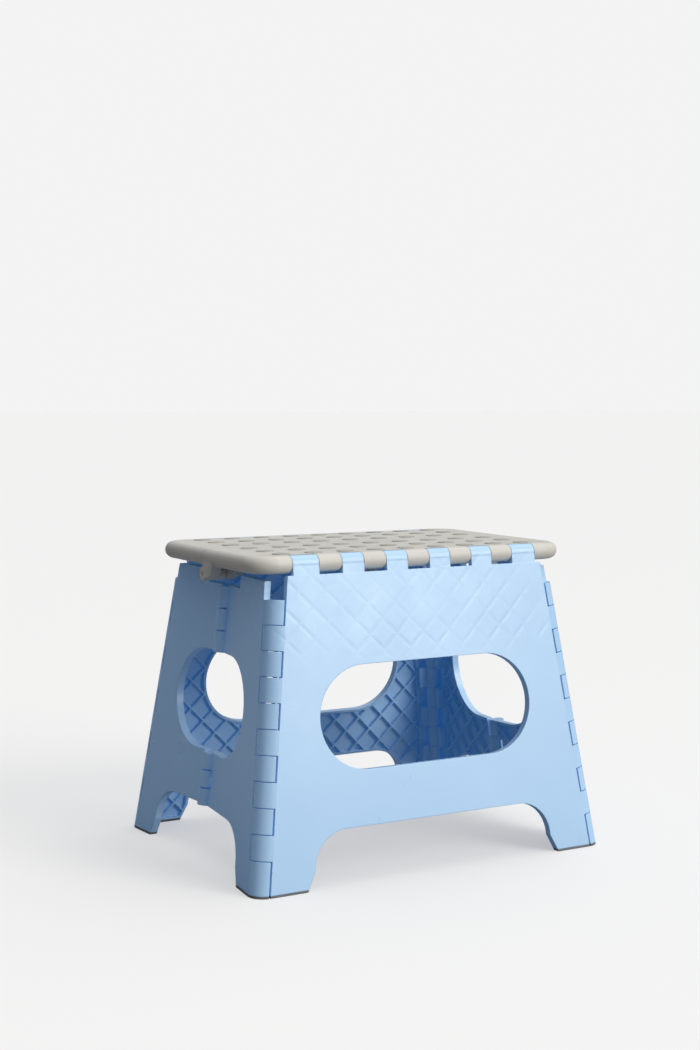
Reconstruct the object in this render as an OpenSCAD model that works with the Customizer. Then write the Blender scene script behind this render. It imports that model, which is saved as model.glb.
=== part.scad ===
// Folding step stool: eight hinged plastic panels that fold flat.
// Origin: centre of the footprint, on the floor. +X runs along the long side, -Y is the front.

/* [Overall size] */
// Height of the standing surface above the floor
height = 220; // [200:1:240]
// Width at the floor, over the two sides
base_width = 280; // [270:1:300]
// Depth at the floor, from front to back
base_depth = 220; // [210:1:235]
// Lean of the side panels from upright
side_lean = 7.4; // [6.5:0.1:8]
// Lean of the front and back panels from upright
front_lean = 7.5; // [6.5:0.1:8]
// Inward sag of the two side hinge lines at the floor
side_sag = 9.5; // [9:0.5:12]

/* [Panels] */
// Distance from a panel's outer face to its corner hinge axis
panel_t = 11; // [10:0.5:12]
// Thickness of a panel between its hinges, skin and ribs together
slab_t = 5.4; // [5:0.2:7]
// Thickness of the outer skin of each panel
skin_t = 2.4; // [2:0.1:3]
// Width of the rim around each pocket
rim_w = 2; // [2:0.5:3]
// Thickness of the crossed ribs
rib_t = 1.4; // [1.2:0.1:2]
// Distance between neighbouring ribs
rib_pitch = 15; // [14:0.5:18]
// Height of the oval hand opening above the floor, at its middle
oval_z = 110.8; // [105:0.5:115]
// Half height of the oval openings
oval_r = 35.3; // [30:0.5:36]
// Half length of the straight part of the front oval
front_oval_half = 49.3; // [40:0.5:55]
// Half length of the straight part of the side oval
side_oval_half = 21; // [15:0.5:24]
// Height of the arches between the feet
arch_z = 38; // [30:1:40]

/* [Top plate] */
// Width of the standing surface
plate_w = 255; // [245:1:260]
// Thickness of the top plate
plate_t = 12; // [12:0.5:13]
// Corner radius of the top plate, seen from above
plate_corner = 20; // [16:1:24]
// Depth of the centre hinge axis below the top plate's surface
centre_drop = 17.6; // [17.4:0.1:17.9]
// Diameter of one grip dot
dot_d = 12.4; // [10:0.2:13]
// Distance between neighbouring grip dots along a row
dot_pitch = 24.5; // [23:0.5:25]
// Distance between rows of grip dots
dot_row = 24.8; // [23:0.1:25]
// Height that a grip dot stands above the plate
dot_rise = 0.4; // [0.2:0.1:0.6]

/* [Hinges] */
// Length of one corner knuckle
knuckle = 16.8; // [15:0.1:17]
// Length of one knuckle of the front and back top hinges
top_knuckle = 17.3; // [16:0.1:18]
// Diameter of the hinge pins
pin_d = 3; // [2.5:0.5:3.5]
// Diameter of the two pins in each side hinge
side_pin_d = 2.4; // [2:0.2:2.6]
// Gap between neighbouring knuckles of one hinge
knuckle_gap = 0.5; // [0.4:0.1:0.8]
// Diameter of the side hinge barrels
barrel_d = 11; // [10:0.5:11]
// Gap between neighbouring side hinge barrels
barrel_gap = 0.9; // [0.8:0.1:1.2]

/* [Hidden] */

$fn = 64;
body_blue = [0.66, 0.80, 0.94];
plate_tan = [0.82, 0.80, 0.76];
dot_grey = [0.70, 0.68, 0.64];
pad_grey = [0.33, 0.34, 0.36];
pin_steel = [0.72, 0.73, 0.75];

big = 400;                        // longer than any part of the stool
pad_t = 1.6;                      // foot pads, from the floor up
half_w = base_width / 2;
half_d = base_depth / 2;
kx = tan(side_lean);
ky = tan(front_lean);
face_gap = 0.3;                   // between inner faces when folded, on each side of the hinge axis
seam_gap = 0.2;                   // half the seam between two parts that meet edge to edge
pin_r = pin_d / 2;
side_pin_r = side_pin_d / 2;
over = 3;                         // rooms and bores run this far past the knuckles at their ends
run_clear = 0.05;                 // radial clearance of a pin that turns in its bore
pin_foot = 2.6;                   // lower end of a corner pin above the floor
pin_end = 0.6;                    // pins stop this far inside the last knuckle
boss_r = 5;                       // round boss about a corner pin
boss_clear = 0.5;
knuckle_r = panel_t - 0.04;       // knuckles stay just under the panel's face, never tangent to it

// Corner hinge axis: the line at depth panel_t inside both outer planes.
axis_foot = [half_w - panel_t / cos(side_lean), -half_d + panel_t / cos(front_lean), 0];
axis_dir = [-kx, ky, 1] / norm([-kx, ky, 1]);
axis_tilt = acos(axis_dir[2]);
axis_turn = atan2(ky, -kx);
u_dir = [cos(axis_tilt) * cos(axis_turn), cos(axis_tilt) * sin(axis_turn), -sin(axis_tilt)];
v_dir = [-sin(axis_turn), cos(axis_turn), 0];

// Turn about the corner axis that points local +X out of the front panel.
front_out = [0, -cos(front_lean), sin(front_lean)];
front_turn = atan2(front_out * v_dir, front_out * u_dir);

// Side half: its plane holds the corner axis and passes panel_t from the centre line's pin.
barrel_lift = 0.25;               // side hinge axis stands this far outside the outer face
centre_foot = [half_w - side_sag + barrel_lift, 0, 0];
foot_span = centre_foot - axis_foot;
span_u = foot_span * u_dir;
span_v = foot_span * v_dir;
side_turn = atan2(span_v, span_u) - acos((panel_t + barrel_lift) / norm([span_u, span_v]));
side_out = cos(side_turn) * u_dir + sin(side_turn) * v_dir;
centre_tilt = atan(side_out[2] / side_out[0]);

// Levels, measured straight up from the floor.
foot_h = 21.6;                    // top of the lowest corner knuckle
corner_knuckles = 10;
corner_top = foot_h + corner_knuckles * knuckle;
side_top = 202.6;                 // top edge of the side halves
side_middle_top = 193.2;          // top edge beside the side hinge, under the centre hinge lugs
relief_w = 26;                    // half length of that lower edge
side_pivot_low = [37.6, 75.6];    // lower group of side barrels
side_pivot_high = [145.4, 192.6]; // upper group of side barrels
corner_relief = 6.4;              // hollow about the corner axis above the top knuckle
pocket_start = panel_t + 0.4;     // pockets start this far from the corner axis
front_arch_half = 70;             // half width of the front arch between its round shoulders
front_arch_flare = 7;             // and how much wider each side of it is at the floor
side_arch_half = 45;
side_arch_flare = 6;
arch_r = 25;                      // shoulder radius of all arches
below = 3;                        // panels are drawn down to this depth and then cut at the floor

// Top plate and its two edge hinges.
plate_top = height - dot_rise;
plate_low = plate_top - plate_t;
edge_r = plate_t / 2;
edge_z = plate_top - edge_r;
edge_y = -(half_d - ky * edge_z) + edge_r / cos(front_lean);
plate_y = edge_y - edge_r;
centre_z = plate_top - centre_drop;
plate_skin = 3.4;
panel_top = plate_low - 0.9;      // top edge of the front panel under the plate's own knuckles
end_knuckle = 20.2;               // the outermost knuckle on each side is longer
row_count = 9;                    // knuckles between the two outermost ones
row_half = row_count * top_knuckle / 2;
row_end = row_half + end_knuckle;
neck_inset = 0.15;                // the knuckles' necks stand just behind the panel's face
neck_depth = 4.1;
neck_root = 1.8;                  // and reach this far down into the panel's rim
lug_r = 5;
lug_len = 8;                      // length of one lug of the centre hinge
lug_reach = 13;                   // a lug's root runs this far under its own plate
lug_up = edge_z - centre_z;       // and up to the middle of the plate's edge
lug_waist = 4.25;                 // half thickness of a lug's root at the knuckle
lug_heel = 1;                     // a lug's far corner lies this far below the hinge axis
lug_step = lug_len + knuckle_gap;
lug_groups = [-114.6, 0, 114.6];
lug_clear = 0.5;
edge_clear = 0.4;                 // room between the plate's edge and the panel's knuckles
dot_sink = 1;                     // a grip dot reaches this far down into the plate
dot_rows = 3;                     // on each half
dot_side = 4;                     // dots on each side of a row's middle one
first_dot_y = -15.4;               // middle of the row of dots nearest the centre seam

// Side hinges: each one has play, because its two halves drift a little while the stool folds.
// Every pair below is how far the middle of the room shifts, and its extra radius.
barrel_r = barrel_d / 2;
room_low = [[1.3, 1.9], [1.05, 1.6], [0.75, 1.3]];
room_high = [[0, 0.5], [0, 0.5], [0, 0.5]];
play_low = [1.05, 1.5];           // middle lower bore: shift, and radius beyond the pin
play_high = [1.9, 1.97];          // middle upper bore
inward_turn = -107;               // towards a half's own panel and inner face
outward_turn = 45;                // away from them

// ---------- helpers ----------

// Places children on the right front corner axis, local Z along the axis.
module on_corner_axis() {
    translate(axis_foot) rotate([0, axis_tilt, axis_turn]) children();
}

// Same place, with local X pointing out of the front panel.
module on_front_axis() {
    on_corner_axis() rotate([0, 0, front_turn]) children();
}

// Same place, with local X pointing out of the side half.
module on_side_axis() {
    on_corner_axis() rotate([0, 0, side_turn]) children();
}

// Places children on the right side hinge axis, local Z along the axis.
module on_centre_axis() {
    translate(centre_foot) rotate([0, -centre_tilt, 0]) children();
}

// Places children in the front panel's plane: X along it, Y into it, Z up the slope.
module on_front_face() {
    translate([0, -half_d, 0]) rotate([-front_lean, 0, 0]) children();
}

// Corner axis length that reaches a given height.
function reach(z) = z / cos(axis_tilt);
// Side hinge axis length that reaches a given height.
function climb(z) = z / cos(centre_tilt);

// A layer of the world between two heights.
module layer(z1, z2) {
    translate([-big, -big, z1]) cube([2 * big, 2 * big, z2 - z1]);
}

// Mirror copies a right half to the left as well.
module both_sides() {
    children();
    mirror([1, 0, 0]) children();
}

// Crossed ribs at 45 degrees, in the XY plane, from z = 0 up to h.
module rib_lattice(h) {
    count = ceil(big / rib_pitch / 2);
    for (turn = [45, -45]) {
        rotate([0, 0, turn]) {
            for (i = [-count : count]) {
                translate([-big / 2, (i + 0.5) * rib_pitch - rib_t / 2, 0]) cube([big, rib_t, h]);
            }
        }
    }
}

// ---------- outlines of the openings ----------

// Oval opening with straight half length s, grown by g.
module oval_shape(s, g) {
    for (side = [-1, 1]) {
        translate([side * s, oval_z]) circle(oval_r + g, $fn = 96);
    }
    translate([-s, oval_z - oval_r - g]) square([2 * s, 2 * (oval_r + g)]);
}

// Arch between two feet: round shoulders of radius r at half width w, flared to the floor.
module arch_shape(w, r, flare, g) {
    for (side = [-1, 1]) {
        translate([side * w, arch_z - r]) circle(r + g, $fn = 96);
    }
    translate([-w, 0]) square([2 * w, arch_z + g]);
    polygon([
        [-(w + r + g), arch_z - r], [-(w + r + g + flare), -1],
        [w + r + g + flare, -1], [w + r + g, arch_z - r]
    ]);
}

// ---------- front panel ----------

// Half width of the front panel at slope height v, up to the corner axis.
function front_half(v) = axis_foot[0] - kx * cos(front_lean) * (v - panel_t * tan(front_lean));

module front_outline(inset, low, high) {
    polygon([
        [-front_half(low) + inset, low], [front_half(low) - inset, low],
        [front_half(high) - inset, high], [-front_half(high) + inset, high]
    ]);
}

module front_cutouts(g) {
    oval_shape(front_oval_half, g);
    arch_shape(front_arch_half, arch_r, front_arch_flare, g);
}

front_top_v = panel_top / cos(front_lean);

module front_slab() {
    on_front_face() rotate([90, 0, 0]) translate([0, 0, -slab_t]) {
        linear_extrude(slab_t) difference() {
            front_outline(0, -below, front_top_v);
            front_cutouts(0);
        }
    }
}

module front_pockets() {
    on_front_face() rotate([90, 0, 0]) translate([0, 0, -panel_t - 1]) difference() {
        linear_extrude(panel_t + 1 - skin_t) difference() {
            front_outline(pocket_start, pad_t + rim_w, front_top_v - rim_w);
            front_cutouts(rim_w);
        }
        translate([0, oval_z, 0]) rib_lattice(panel_t);
    }
}

// One corner knuckle, half a disc thick enough to round the corner, with a round inner boss.
module knuckle_shape(z1, z2) {
    translate([0, 0, reach(z1) + knuckle_gap / 2]) {
        linear_extrude(reach(z2) - reach(z1) - knuckle_gap) {
            intersection() {
                circle(knuckle_r, $fn = 96);
                translate([face_gap, -big]) square([big, 2 * big]);
            }
        }
        cylinder(h = reach(z2) - reach(z1) - knuckle_gap, r = boss_r);
    }
}

// Room for the neighbour's knuckle: everything beyond the seam, and the round boss.
module knuckle_room(z1, z2) {
    translate([-seam_gap, -big, reach(z1)]) cube([big, 2 * big, reach(z2) - reach(z1)]);
    translate([0, 0, reach(z1)]) cylinder(h = reach(z2) - reach(z1), r = boss_r + boss_clear);
}

function corner_low(i) = i == 0 ? -below : foot_h + (i - 1) * knuckle;
function corner_high(i) = foot_h + i * knuckle;

// Knuckles 0, 2, 4 ... belong to the side half and 1, 3, 5 ... to the front or back panel.
module corner_bore(r) {
    translate([0, 0, -2 * over]) cylinder(h = reach(corner_top) + 4 * over, r = r);
}

module top_relief(z1) {
    translate([0, 0, reach(z1) + knuckle_gap / 2]) cylinder(h = big, r = corner_relief);
}

module corner_pin() {
    color(pin_steel) on_corner_axis() translate([0, 0, reach(pin_foot)]) {
        cylinder(h = reach(corner_top - pin_end - pin_foot), r = pin_r);
    }
}

// Front panel's half of the top hinge.
module front_top_knuckles() {
    for (i = [0 : 2 : row_count + 1]) {
        x1 = knuckle_start(i) + knuckle_gap / 2;
        x2 = knuckle_start(i + 1) - knuckle_gap / 2;
        translate([x1, edge_y, edge_z]) rotate([0, 90, 0]) cylinder(h = x2 - x1, r = edge_r);
        on_front_face() translate([x1, neck_inset, front_top_v - neck_root]) {
            cube([x2 - x1, neck_depth, edge_z / cos(front_lean) - front_top_v + neck_root]);
        }
    }
}

function knuckle_start(i) =
    i == 0 ? -row_end : i == row_count + 2 ? row_end : -row_half + (i - 1) * top_knuckle;

// Whole front panel down to below the floor, before the pads are cut off.
module front_body() {
    difference() {
        union() {
            front_slab();
            both_sides() on_front_axis() {
                for (i = [1 : 2 : corner_knuckles]) {
                    knuckle_shape(corner_low(i), corner_high(i));
                }
            }
            front_top_knuckles();
        }
        both_sides() on_side_axis() {
            for (i = [0 : 2 : corner_knuckles]) {
                knuckle_room(corner_low(i), corner_high(i));
            }
            top_relief(corner_top);
        }
    }
}

module front_panel_shape() {
    difference() {
        front_body();
        front_pockets();
        layer(-2 * below, pad_t);
        both_sides() on_corner_axis() corner_bore(pin_r);
        translate([-row_end - 1, edge_y, edge_z]) rotate([0, 90, 0]) cylinder(h = 2 * row_end + 2, r = pin_r);
    }
}

module front_pads_shape() {
    intersection() {
        front_body();
        layer(0, pad_t);
    }
}

module front_panel() {
    color(body_blue) front_panel_shape();
}

module back_panel() {
    color(body_blue) mirror([0, 1, 0]) front_panel_shape();
}

module front_foot_pads() {
    color(pad_grey) front_pads_shape();
}

module back_foot_pads() {
    color(pad_grey) mirror([0, 1, 0]) front_pads_shape();
}

// ---------- side halves, drawn at the right front ----------

// Outline seen from the side: depth runs along X here and height along Y.
module side_outline(rim) {
    difference() {
        union() {
            translate([-half_d, -below]) square([half_d - seam_gap - rim, side_middle_top + below - rim]);
            translate([-half_d, -below]) square([half_d - relief_w - rim, side_top + below - rim]);
        }
        oval_shape(side_oval_half, rim);
        arch_shape(side_arch_half, arch_r, side_arch_flare, rim);
    }
}

// Turns an outline drawn in depth and height into a solid that runs along the world's X.
module across(outline_from, outline_len) {
    translate([outline_from, 0, 0]) rotate([90, 0, 90]) linear_extrude(outline_len) children();
}

module side_slab() {
    intersection() {
        on_side_axis() translate([panel_t - slab_t, 0, -panel_t]) cube([slab_t, half_d, big]);
        across(0, big) side_outline(0);
    }
}

module side_pockets() {
    difference() {
        intersection() {
            on_side_axis() translate([-1, pocket_start, reach(pad_t + rim_w)]) {
                cube([panel_t + 1 - skin_t, half_d, big]);
            }
            across(0, big) side_outline(rim_w);
            centre_side_of(barrel_r + rim_w);
        }
        on_side_axis() translate([-2, half_d / 2, oval_z]) rotate([90, 0, 90]) rib_lattice(panel_t + 2);
    }
}

// The region on the front side of the hinge line, at least d away from it.
module centre_side_of(d) {
    on_centre_axis() translate([-big, -big - d, -big]) cube([2 * big, big, 2 * big]);
}

// Heights between which barrel i of a group of three lies.
function barrel_z(group, i) = group[0] + (group[1] - group[0]) * i / 3;

module barrel(group, i) {
    z1 = climb(barrel_z(group, i)) + barrel_gap / 2;
    z2 = climb(barrel_z(group, i + 1)) - barrel_gap / 2;
    on_centre_axis() translate([0, 0, z1]) cylinder(h = z2 - z1, r = barrel_r);
}

module barrel_room(group, i, room) {
    z1 = climb(barrel_z(group, i)) - (i == 0 ? over : 0);
    z2 = climb(barrel_z(group, i + 1)) + (i == 2 ? over : 0);
    on_centre_axis() rotate([0, 0, inward_turn]) translate([room[0], 0, z1]) {
        cylinder(h = z2 - z1, r = barrel_r + room[1]);
    }
}

// Straight bore through a group, for the pins that this half holds.
module barrel_bore(group, r) {
    on_centre_axis() translate([0, 0, climb(group[0]) - over]) {
        cylinder(h = climb(group[1]) - climb(group[0]) + 2 * over, r = r);
    }
}

// Loose bore of the middle barrel: the pin of the other half shifts in it while the stool folds.
module loose_bore(group, play, turn) {
    z1 = climb(barrel_z(group, 1)) - 1;
    z2 = climb(barrel_z(group, 2)) + 1;
    on_centre_axis() rotate([0, 0, turn]) translate([play[0], 0, z1]) {
        cylinder(h = z2 - z1, r = side_pin_r + play[1]);
    }
}

// Barrels 0 and 2 of each group belong to the front half, barrel 1 to the back half.
module side_body(front) {
    mine = front ? [0, 2] : [1];
    theirs = front ? [1] : [0, 2];
    difference() {
        union() {
            difference() {
                union() {
                    side_slab();
                    on_side_axis() for (i = [0 : 2 : corner_knuckles]) {
                        knuckle_shape(corner_low(i), corner_high(i));
                    }
                }
                on_front_axis() for (i = [1 : 2 : corner_knuckles]) {
                    knuckle_room(corner_low(i), corner_high(i));
                }
                on_front_axis() top_relief(corner_top);
            }
            for (i = mine) {
                barrel(side_pivot_low, i);
                barrel(side_pivot_high, i);
            }
        }
        for (i = theirs) {
            barrel_room(side_pivot_low, i, room_low[i]);
            barrel_room(side_pivot_high, i, room_high[i]);
        }
    }
}

module side_shape(front) {
    difference() {
        side_body(front);
        side_pockets();
        layer(-2 * below, pad_t);
        on_corner_axis() corner_bore(pin_r + run_clear);
        if (front) {
            barrel_bore(side_pivot_low, side_pin_r);
            barrel_bore(side_pivot_high, side_pin_r);
        } else {
            loose_bore(side_pivot_low, play_low, inward_turn);
            loose_bore(side_pivot_high, play_high, outward_turn);
        }
    }
}

module side_pad_shape() {
    intersection() {
        side_body(true);
        layer(0, pad_t);
    }
}

module side_pins_shape() {
    for (group = [side_pivot_low, side_pivot_high]) {
        on_centre_axis() translate([0, 0, climb(group[0]) + pin_end]) {
            cylinder(h = climb(group[1]) - climb(group[0]) - 2 * pin_end, r = side_pin_r);
        }
    }
}

module side_right_front() {
    color(body_blue) side_shape(true);
}

module side_right_back() {
    color(body_blue) mirror([0, 1, 0]) side_shape(false);
}

module side_left_front() {
    color(body_blue) mirror([1, 0, 0]) side_shape(true);
}

module side_left_back() {
    color(body_blue) mirror([1, 0, 0]) mirror([0, 1, 0]) side_shape(false);
}

module side_right_front_pad() {
    color(pad_grey) side_pad_shape();
}

module side_right_back_pad() {
    color(pad_grey) mirror([0, 1, 0]) side_pad_shape();
}

module side_left_front_pad() {
    color(pad_grey) mirror([1, 0, 0]) side_pad_shape();
}

module side_left_back_pad() {
    color(pad_grey) mirror([1, 0, 0]) mirror([0, 1, 0]) side_pad_shape();
}

module corner_right_front_pin() {
    corner_pin();
}

module corner_right_back_pin() {
    mirror([0, 1, 0]) corner_pin();
}

module corner_left_front_pin() {
    mirror([1, 0, 0]) corner_pin();
}

module corner_left_back_pin() {
    mirror([1, 0, 0]) mirror([0, 1, 0]) corner_pin();
}

module side_right_pins() {
    color(pin_steel) side_pins_shape();
}

module side_left_pins() {
    color(pin_steel) mirror([1, 0, 0]) side_pins_shape();
}

// ---------- top plate ----------

corner_cx = plate_w / 2 - plate_corner;
corner_cy = plate_y + plate_corner;

// Round-edged disc that makes one plate corner.
module corner_disc() {
    rotate_extrude($fn = 96) {
        square([plate_corner - edge_r, plate_t]);
        translate([plate_corner - edge_r, edge_r]) intersection() {
            circle(edge_r, $fn = 48);
            translate([0, -edge_r]) square([edge_r, plate_t]);
        }
    }
}

module plate_blank() {
    translate([0, 0, plate_low]) {
        for (side = [-1, 1]) {
            translate([side * corner_cx, corner_cy, 0]) corner_disc();
        }
    }
    translate([-corner_cx, 0, 0]) rotate([90, 0, 90]) linear_extrude(2 * corner_cx) {
        translate([edge_y, plate_low]) square([-edge_y - seam_gap, plate_t]);
        translate([edge_y, edge_z]) circle(edge_r, $fn = 48);
    }
    translate([0, -seam_gap, 0]) rotate([90, 0, 0]) linear_extrude(-seam_gap - corner_cy) {
        translate([-plate_w / 2 + edge_r, plate_low]) square([plate_w - plate_t, plate_t]);
        for (side = [-1, 1]) {
            translate([side * (plate_w / 2 - edge_r), edge_z]) circle(edge_r, $fn = 48);
        }
    }
}

// Room in the plate's edge for the front panel's knuckles.
module edge_rooms() {
    for (i = [0 : 2 : row_count + 1]) {
        x1 = knuckle_start(i);
        x2 = knuckle_start(i + 1);
        translate([x1, edge_y, edge_z]) rotate([0, 90, 0]) cylinder(h = x2 - x1, r = edge_r + edge_clear);
        translate([x1, edge_y - 2 * edge_r, plate_low - 1]) cube([x2 - x1, 2 * edge_r, plate_t + 2]);
    }
}

module plate_pockets() {
    back = edge_y + edge_r + edge_clear + rim_w;
    translate([0, 0, plate_low - 1]) difference() {
        translate([-plate_w / 2 + edge_r + rim_w, back, 0]) {
            cube([plate_w - plate_t - 2 * rim_w, -back - lug_r - rim_w, plate_t + 1 - plate_skin]);
        }
        translate([0, -plate_w / 6, -1]) rib_lattice(plate_t + 2);
    }
}

// Lug positions: in each group of three, lugs 0 and 2 are the front half's, lug 1 the back half's.
function lug_x(centre, i) = centre + (i - 1.5) * lug_step + knuckle_gap / 2;

module lug(centre, i) {
    translate([lug_x(centre, i), 0, centre_z]) rotate([90, 0, 90]) linear_extrude(lug_len) {
        circle(lug_r);
        polygon([
            [-seam_gap, lug_up], [-lug_reach - lug_r, lug_up], [-lug_reach, -lug_heel],
            [-lug_waist, -lug_r / 2], [-seam_gap, -lug_r / 2]
        ]);
    }
}

module lug_room(centre, i) {
    translate([lug_x(centre, i) - knuckle_gap, 0, centre_z]) rotate([0, 90, 0]) {
        cylinder(h = lug_len + 2 * knuckle_gap, r = lug_r + lug_clear);
    }
}

module centre_pins_shape(r, extra) {
    for (centre = lug_groups) {
        translate([centre - 1.5 * lug_step + pin_end - extra, 0, centre_z]) rotate([0, 90, 0]) {
            cylinder(h = 3 * lug_step - 2 * pin_end + 2 * extra, r = r);
        }
    }
}

// Grip dots of the front half, in a square grid.
module dots_shape() {
    for (row = [0 : dot_rows - 1], i = [-dot_side : dot_side]) {
        translate([i * dot_pitch, first_dot_y - row * dot_row, plate_top - dot_sink]) {
            cylinder(h = dot_sink + dot_rise, d = dot_d, $fn = 48);
        }
    }
}

module plate_half(front) {
    mine = front ? [0, 2] : [1];
    theirs = front ? [1] : [0, 2];
    difference() {
        union() {
            difference() {
                plate_blank();
                edge_rooms();
                plate_pockets();
            }
            for (centre = lug_groups, i = mine) {
                lug(centre, i);
            }
        }
        for (centre = lug_groups, i = theirs) {
            lug_room(centre, i);
        }
        dots_shape();
        centre_pins_shape(front ? pin_r : pin_r + run_clear, over);
        translate([-row_end - 1, edge_y, edge_z]) rotate([0, 90, 0]) {
            cylinder(h = 2 * row_end + 2, r = pin_r + run_clear);
        }
    }
}

module top_front() {
    color(plate_tan) plate_half(true);
}

module top_back() {
    color(plate_tan) mirror([0, 1, 0]) plate_half(false);
}

module top_front_dots() {
    color(dot_grey) dots_shape();
}

module top_back_dots() {
    color(dot_grey) mirror([0, 1, 0]) dots_shape();
}

module top_centre_pins() {
    color(pin_steel) centre_pins_shape(pin_r, 0);
}

module edge_pin() {
    color(pin_steel) translate([-row_end + pin_end, edge_y, edge_z]) rotate([0, 90, 0]) {
        cylinder(h = 2 * (row_end - pin_end), r = pin_r);
    }
}

module top_front_pin() {
    edge_pin();
}

module top_back_pin() {
    mirror([0, 1, 0]) edge_pin();
}

// ---------- nodes ----------

top_front();
top_back();
top_front_dots();
top_back_dots();
front_panel();
back_panel();
side_right_front();
side_right_back();
side_left_front();
side_left_back();
front_foot_pads();
back_foot_pads();
side_right_front_pad();
side_right_back_pad();
side_left_front_pad();
side_left_back_pad();
top_centre_pins();
top_front_pin();
top_back_pin();
corner_right_front_pin();
corner_right_back_pin();
corner_left_front_pin();
corner_left_back_pin();
side_right_pins();
side_left_pins();
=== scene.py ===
import math
import bpy
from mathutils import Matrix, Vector

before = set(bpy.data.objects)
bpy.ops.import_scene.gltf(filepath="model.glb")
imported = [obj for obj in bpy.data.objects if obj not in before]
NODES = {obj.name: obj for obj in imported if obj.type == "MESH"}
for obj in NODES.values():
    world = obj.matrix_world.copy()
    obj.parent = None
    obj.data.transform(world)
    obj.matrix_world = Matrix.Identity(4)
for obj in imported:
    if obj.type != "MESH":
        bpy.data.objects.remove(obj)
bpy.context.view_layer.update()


def rgba(r, g, b):
    return (r, g, b, 1.0)


# ---------------------------------------------------------------- settings: metres, linear colours

# Blue panels. Clouds mix the two tones of each pair below.
BLUE = (rgba(0.385, 0.580, 0.790), rgba(0.410, 0.605, 0.810))
# Darker blue along the sink lines: painted shade of those shallow grooves.
BLUE_LINE_SHADE = rgba(0.31, 0.53, 0.80)
BLUE_EDGE = rgba(0.50, 0.70, 0.90)
BLUE_SCUFF = rgba(0.55, 0.74, 0.92)
GLOW = 0.065               # stands for light that seeps through the thin skins into the shaded inside
GLOW_TINT = rgba(0.04, 0.36, 1.0)

# Beige top plate.
BEIGE = (rgba(0.565, 0.540, 0.485), rgba(0.605, 0.580, 0.525))
BEIGE_FLECK = rgba(0.46, 0.44, 0.39)
BEIGE_EDGE = rgba(0.72, 0.70, 0.65)
BEIGE_SCUFF = rgba(0.70, 0.69, 0.66)

# Rubber and steel.
DOT_TONES = (rgba(0.400, 0.388, 0.350), rgba(0.445, 0.432, 0.394))
DOT_GRAIN = 1100.0
PAD_TONES = (rgba(0.120, 0.128, 0.140), rgba(0.160, 0.168, 0.180))
PAD_GRAIN = 900.0
STEEL_TONES = (rgba(0.62, 0.63, 0.65), rgba(0.45, 0.45, 0.47))

# Ribs that show through the upper part of the panels.
RIB_PITCH = 0.015          # spacing of the crossed ribs behind the skins
OVAL_HEIGHT = 0.1108       # the rib pattern is centred on this height
LINES_FROM = 0.146         # the ribs show through only above this height
LINES_FULL = 0.158         # and come through fully from here up
LINE_FADE = 0.16           # a line fades out this far from its middle, as a part of RIB_PITCH
DIAGONAL = 0.70711         # sine and cosine of the ribs' 45 degrees
CELLS_AWAY = 100.0         # keeps the counted rib cells above zero all over the stool

# Radii of the moulded edges, for shading only.
HARD_EDGE = 0.0008
SOFT_EDGE = 0.0004

# Floor and sky.
REACH = 60.0               # the floor runs this far each way
BACKDROP = 0.896           # the sky where the camera sees it
PAPER = rgba(0.444, 0.433, 0.422)  # what the floor returns of the light that falls on it
BOUNCE = rgba(0.26, 0.26, 0.27)    # the same for the light that the floor throws back onto the stool
PAPER_GLOW = 0.45          # added where the camera sees the floor, so that its shadows stay light
SKY_TINT = rgba(0.97, 1.0, 1.04)
AMBIENT = 0.05             # sky near the horizon
OVERHEAD = 1.50            # added straight above
SIDE_FALL = 0.9            # the sky is brighter to the right than to the left

# Lamps.
LAMP_TARGET = Vector((0, 0, 0.15))
KEY = 1.55
KEY_PLACE = (1.375, -2.325, 1.455)
KEY_TINT = (1.0, 0.970, 0.920)
KEY_SPREAD = math.radians(34)
SOFTBOX = 8.5
SOFTBOX_PLACE = (1.09, -2.05, 0.46)
SOFTBOX_TINT = (1.0, 0.99, 0.97)
SOFTBOX_SIZE = 0.6

# Camera.
SENSOR = 36.0
LENS = 55.54
CAMERA_PLACE = (-0.585, -1.035, 0.320)
CAMERA_TARGET = Vector((-0.0089, 0.0, 0.2318))

# ---------------------------------------------------------------- node trees


class Nodes:
    """A node tree, with short calls for making, linking and setting its nodes."""

    def __init__(self, tree):
        self.tree = tree
        self.tree.nodes.clear()

    def node(self, kind, **settings):
        made = self.tree.nodes.new(kind)
        for key, value in settings.items():
            setattr(made, key, value)
        return made

    def link(self, source, target):
        self.tree.links.new(source, target)

    def put(self, target, value):
        if isinstance(value, bpy.types.NodeSocket):
            self.link(value, target)
        else:
            target.default_value = value

    def math(self, operation, a, b=None, c=None):
        made = self.node("ShaderNodeMath", operation=operation)
        for socket, value in zip(made.inputs, (a, b, c)):
            if value is not None:
                self.put(socket, value)
        return made.outputs[0]


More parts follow.
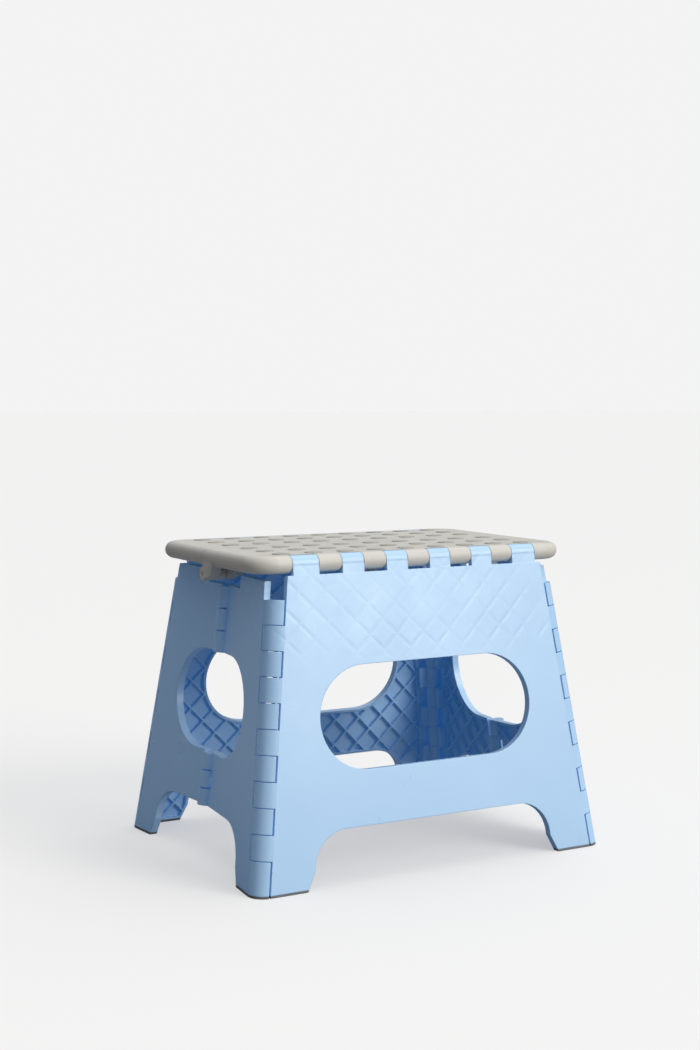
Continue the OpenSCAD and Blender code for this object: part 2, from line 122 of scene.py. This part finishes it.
class Shader(Nodes):
    """A material's node tree, with short calls for the nodes used here."""

    def __init__(self, name):
        self.material = bpy.data.materials.new(name)
        self.material.use_nodes = True
        super().__init__(self.material.node_tree)
        end = self.node("ShaderNodeOutputMaterial")
        self.bsdf = self.node("ShaderNodeBsdfPrincipled")
        self.link(self.bsdf.outputs[0], end.inputs[0])
        self.coords = self.node("ShaderNodeTexCoord").outputs["Object"]

    def set(self, name, value):
        self.put(self.bsdf.inputs[name], value)

    def noise(self, scale, detail=2.0, roughness=0.5, vector=None):
        made = self.node("ShaderNodeTexNoise")
        made.inputs["Scale"].default_value = scale
        made.inputs["Detail"].default_value = detail
        made.inputs["Roughness"].default_value = roughness
        self.link(vector or self.coords, made.inputs["Vector"])
        return made.outputs["Fac"]

    def ramp(self, value, low, high, to_low=0.0, to_high=1.0):
        made = self.node("ShaderNodeMapRange", clamp=True)
        self.put(made.inputs["Value"], value)
        limits = {"From Min": low, "From Max": high, "To Min": to_low, "To Max": to_high}
        for key, number in limits.items():
            made.inputs[key].default_value = number
        return made.outputs["Result"]

    def mix(self, fac, a, b):
        made = self.node("ShaderNodeMix", data_type="RGBA")
        self.put(made.inputs["Factor"], fac)
        self.put(made.inputs["A"], a)
        self.put(made.inputs["B"], b)
        return made.outputs["Result"]

    def tinge(self, colour, mask, strength, tint):
        """The colour, moved towards the tint by up to strength where the mask is 1."""
        return self.mix(self.math("MULTIPLY", mask, strength), colour, tint)

    def bump(self, height, strength, distance, normal=None):
        made = self.node("ShaderNodeBump")
        made.inputs["Strength"].default_value = strength
        made.inputs["Distance"].default_value = distance
        self.link(height, made.inputs["Height"])
        if normal is not None:
            self.link(normal, made.inputs["Normal"])
        return made.outputs["Normal"]

    def rounded(self, radius):
        made = self.node("ShaderNodeBevel", samples=6)
        made.inputs["Radius"].default_value = radius
        return made.outputs["Normal"]

    def axes(self):
        split = self.node("ShaderNodeSeparateXYZ")
        self.link(self.coords, split.inputs[0])
        return split.outputs


# ---------------------------------------------------------------- materials

def wear(s):
    """Sparse handling marks: 0 on clean plastic, up to 1 inside a scuff."""
    streaks = s.node("ShaderNodeMapping")
    streaks.inputs["Scale"].default_value = (1.0, 1.0, 0.25)
    streaks.inputs["Rotation"].default_value = (0.3, 0.5, 0.7)
    s.link(s.coords, streaks.inputs["Vector"])
    fine = s.noise(310.0, 4.0, 0.65, streaks.outputs[0])
    broad = s.noise(17.0, 2.0)
    return s.math("MULTIPLY", s.ramp(fine, 0.60, 0.72), s.ramp(broad, 0.52, 0.66))


def worn_edges(s):
    """1 on worn convex edges, 0 elsewhere."""
    return s.ramp(s.node("ShaderNodeNewGeometry").outputs["Pointiness"], 0.515, 0.56)


def sink_lines(s, along, up):
    """Faint diamond pattern where the crossed ribs show through a moulded skin: 1 on a line, 0 between."""
    lines = []
    for sign in (1.0, -1.0):
        slanted = s.math("ADD", along, s.math("MULTIPLY", up, sign))
        across = s.math("MULTIPLY", slanted, DIAGONAL)
        cell = s.math("FRACT", s.math("ADD", s.math("DIVIDE", across, RIB_PITCH), CELLS_AWAY))
        off = s.math("ABSOLUTE", s.math("SUBTRACT", cell, 0.5))
        lines.append(s.ramp(off, 0.0, LINE_FADE, 1.0, 0.0))
    return s.math("MAXIMUM", lines[0], lines[1])


def panel_plastic(name, along_axis):
    """Satin baby-blue moulding. along_axis is the row axis that the panel runs along: 0 for X, 1 for Y."""
    s = Shader(name)
    axes = s.axes()
    up = s.math("SUBTRACT", axes[2], OVAL_HEIGHT)
    high = s.ramp(axes[2], LINES_FROM, LINES_FULL)
    uneven = s.ramp(s.noise(14.0, 2.0), 0.35, 0.60, 0.25, 1.0)
    patchy = s.math("MULTIPLY", high, uneven)
    lines = s.math("MULTIPLY", sink_lines(s, axes[along_axis], up), patchy)
    scuff = wear(s)

    clouds = s.ramp(s.noise(9.0, 3.0, 0.55), 0.35, 0.65)
    colour = s.mix(clouds, *BLUE)
    # the darker blue along the sink lines is painted shade of the shallow sink marks
    colour = s.tinge(colour, lines, 0.12, BLUE_LINE_SHADE)
    colour = s.tinge(colour, worn_edges(s), 0.30, BLUE_EDGE)
    s.set("Base Color", s.tinge(colour, scuff, 0.18, BLUE_SCUFF))

    patches = s.ramp(s.noise(38.0, 3.0), 0.3, 0.7, 0.27, 0.37)
    s.set("Roughness", s.math("ADD", patches, s.math("MULTIPLY", scuff, 0.20)))
    s.set("Specular IOR Level", 0.5)
    s.set("Coat Weight", 0.12)
    s.set("Coat Roughness", 0.30)
    s.set("Emission Color", GLOW_TINT)
    s.set("Emission Strength", GLOW)

    ripple = s.bump(s.noise(20.0, 2.0), 0.22, 0.0014, s.rounded(HARD_EDGE))
    sunk = s.bump(s.math("SUBTRACT", 1.0, lines), 0.30, 0.00035, ripple)
    s.set("Normal", s.bump(s.noise(1500.0, 3.0, 0.6), 0.10, 0.00012, sunk))
    return s.material


def plate_plastic():
    """Beige plate: fine spark-eroded grain, slightly dusty."""
    s = Shader("plate_plastic")
    clouds = s.ramp(s.noise(13.0, 3.0, 0.6), 0.35, 0.65)
    flecks = s.ramp(s.noise(900.0, 3.0, 0.7), 0.60, 0.75, 0.0, 0.25)
    colour = s.mix(flecks, s.mix(clouds, *BEIGE), BEIGE_FLECK)
    colour = s.tinge(colour, worn_edges(s), 0.30, BEIGE_EDGE)
    s.set("Base Color", s.tinge(colour, wear(s), 0.22, BEIGE_SCUFF))
    s.set("Roughness", s.ramp(s.noise(45.0, 3.0), 0.3, 0.7, 0.44, 0.56))
    s.set("Specular IOR Level", 0.45)
    ripple = s.bump(s.noise(28.0, 2.0), 0.12, 0.0010, s.rounded(HARD_EDGE))
    s.set("Normal", s.bump(s.noise(1300.0, 4.0, 0.65), 0.22, 0.00015, ripple))
    return s.material


def soft_rubber(name, tones, grain_scale):
    """Matte elastomer with a fine pebbled skin and slightly dusty patches."""
    s = Shader(name)
    s.set("Base Color", s.mix(s.ramp(s.noise(60.0, 3.0, 0.6), 0.35, 0.65), *tones))
    s.set("Roughness", s.ramp(s.noise(140.0, 3.0), 0.3, 0.7, 0.58, 0.78))
    s.set("Specular IOR Level", 0.35)
    pebbles = s.node("ShaderNodeTexVoronoi")
    pebbles.inputs["Scale"].default_value = grain_scale
    s.link(s.coords, pebbles.inputs["Vector"])
    s.set("Normal", s.bump(pebbles.outputs["Distance"], 0.30, 0.00020, s.rounded(SOFT_EDGE)))
    return s.material


def wire_steel():
    """Drawn steel wire: fine marks and a few dull spots."""
    s = Shader("wire_steel")
    dull = s.noise(220.0, 3.0)
    s.set("Base Color", s.mix(s.ramp(dull, 0.4, 0.7), *STEEL_TONES))
    s.set("Metallic", 1.0)
    s.set("Roughness", s.ramp(dull, 0.3, 0.7, 0.28, 0.50))
    s.set("Normal", s.bump(s.noise(2600.0, 2.0), 0.15, 0.00005))
    return s.material


LONG_PANEL = panel_plastic("panel_plastic_long", 0)
SHORT_PANEL = panel_plastic("panel_plastic_short", 1)
PLATE = plate_plastic()
DOTS = soft_rubber("dot_rubber", DOT_TONES, DOT_GRAIN)
PADS = soft_rubber("pad_rubber", PAD_TONES, PAD_GRAIN)
STEEL = wire_steel()


def finish_of(name):
    """The material of a CAD node, told from its name."""
    if "pin" in name:
        return STEEL
    if "dots" in name:
        return DOTS
    if "pad" in name:
        return PADS
    if name.startswith("top_"):
        return PLATE
    return LONG_PANEL if name.endswith("_panel") else SHORT_PANEL


for name, piece in NODES.items():
    piece.data.materials.clear()
    piece.data.materials.append(finish_of(name))

# ---------------------------------------------------------------- stage

scene = bpy.context.scene


def studio_floor():
    """Pale paper floor. Where the camera sees it, it also glows a little."""
    mesh = bpy.data.meshes.new("studio_floor")
    corners = [(-REACH, -REACH, 0), (REACH, -REACH, 0), (REACH, REACH, 0), (-REACH, REACH, 0)]
    mesh.from_pydata(corners, [], [(0, 1, 2, 3)])
    floor = bpy.data.objects.new("studio_floor", mesh)
    scene.collection.objects.link(floor)
    s = Shader("studio_paper")
    seen = s.node("ShaderNodeLightPath").outputs["Is Camera Ray"]
    s.set("Base Color", s.mix(seen, BOUNCE, PAPER))
    s.set("Emission Color", rgba(1.0, 1.0, 1.0))
    s.set("Emission Strength", s.math("MULTIPLY", seen, PAPER_GLOW))
    s.set("Roughness", 0.9)
    s.set("Specular IOR Level", 0.0)
    mesh.materials.append(s.material)


def studio_sky():
    """Soft light from above and from the right, behind a plain backdrop for the camera."""
    world = bpy.data.worlds.new("studio")
    scene.world = world
    world.use_nodes = True
    sky = Nodes(world.node_tree)
    backdrop = sky.node("ShaderNodeBackground")
    backdrop.inputs["Color"].default_value = rgba(BACKDROP, BACKDROP, BACKDROP)
    ambient = sky.node("ShaderNodeBackground")
    ambient.inputs["Color"].default_value = SKY_TINT

    direction = sky.node("ShaderNodeSeparateXYZ")
    sky.link(sky.node("ShaderNodeTexCoord").outputs["Generated"], direction.inputs[0])
    height = sky.math("MAXIMUM", direction.outputs["Z"], 0.0)
    overhead = sky.math("MULTIPLY_ADD", sky.math("MULTIPLY", height, height), OVERHEAD, AMBIENT)
    sideways = sky.math("MULTIPLY_ADD", direction.outputs["X"], SIDE_FALL, 1.0)
    sky.link(sky.math("MULTIPLY", overhead, sideways), ambient.inputs["Strength"])

    either = sky.node("ShaderNodeMixShader")
    end = sky.node("ShaderNodeOutputWorld")
    sky.link(sky.node("ShaderNodeLightPath").outputs["Is Camera Ray"], either.inputs[0])
    sky.link(ambient.outputs[0], either.inputs[1])
    sky.link(backdrop.outputs[0], either.inputs[2])
    sky.link(either.outputs[0], end.inputs["Surface"])


def lamp(name, kind, place, strength, colour, **settings):
    """A lamp at place that shines towards the middle of the stool."""
    data = bpy.data.lights.new(name, kind)
    data.energy = strength
    data.color = colour
    for key, value in settings.items():
        setattr(data, key, value)
    made = bpy.data.objects.new(name, data)
    made.location = place
    made.rotation_euler = (Vector(place) - LAMP_TARGET).to_track_quat("Z", "Y").to_euler()
    scene.collection.objects.link(made)


def studio_camera():
    """The camera, fitted to the photo's view."""
    data = bpy.data.cameras.new("camera")
    data.sensor_fit = "VERTICAL"
    data.sensor_height = SENSOR
    data.lens = LENS
    camera = bpy.data.objects.new("camera", data)
    scene.collection.objects.link(camera)
    camera.location = CAMERA_PLACE
    camera.rotation_euler = (CAMERA_TARGET - camera.location).to_track_quat("-Z", "Y").to_euler()
    scene.camera = camera


studio_floor()
studio_sky()
lamp("key", "SUN", KEY_PLACE, KEY, KEY_TINT, angle=KEY_SPREAD)
lamp("softbox", "AREA", SOFTBOX_PLACE, SOFTBOX, SOFTBOX_TINT, size=SOFTBOX_SIZE)
studio_camera()
scene.view_settings.view_transform = "Standard"
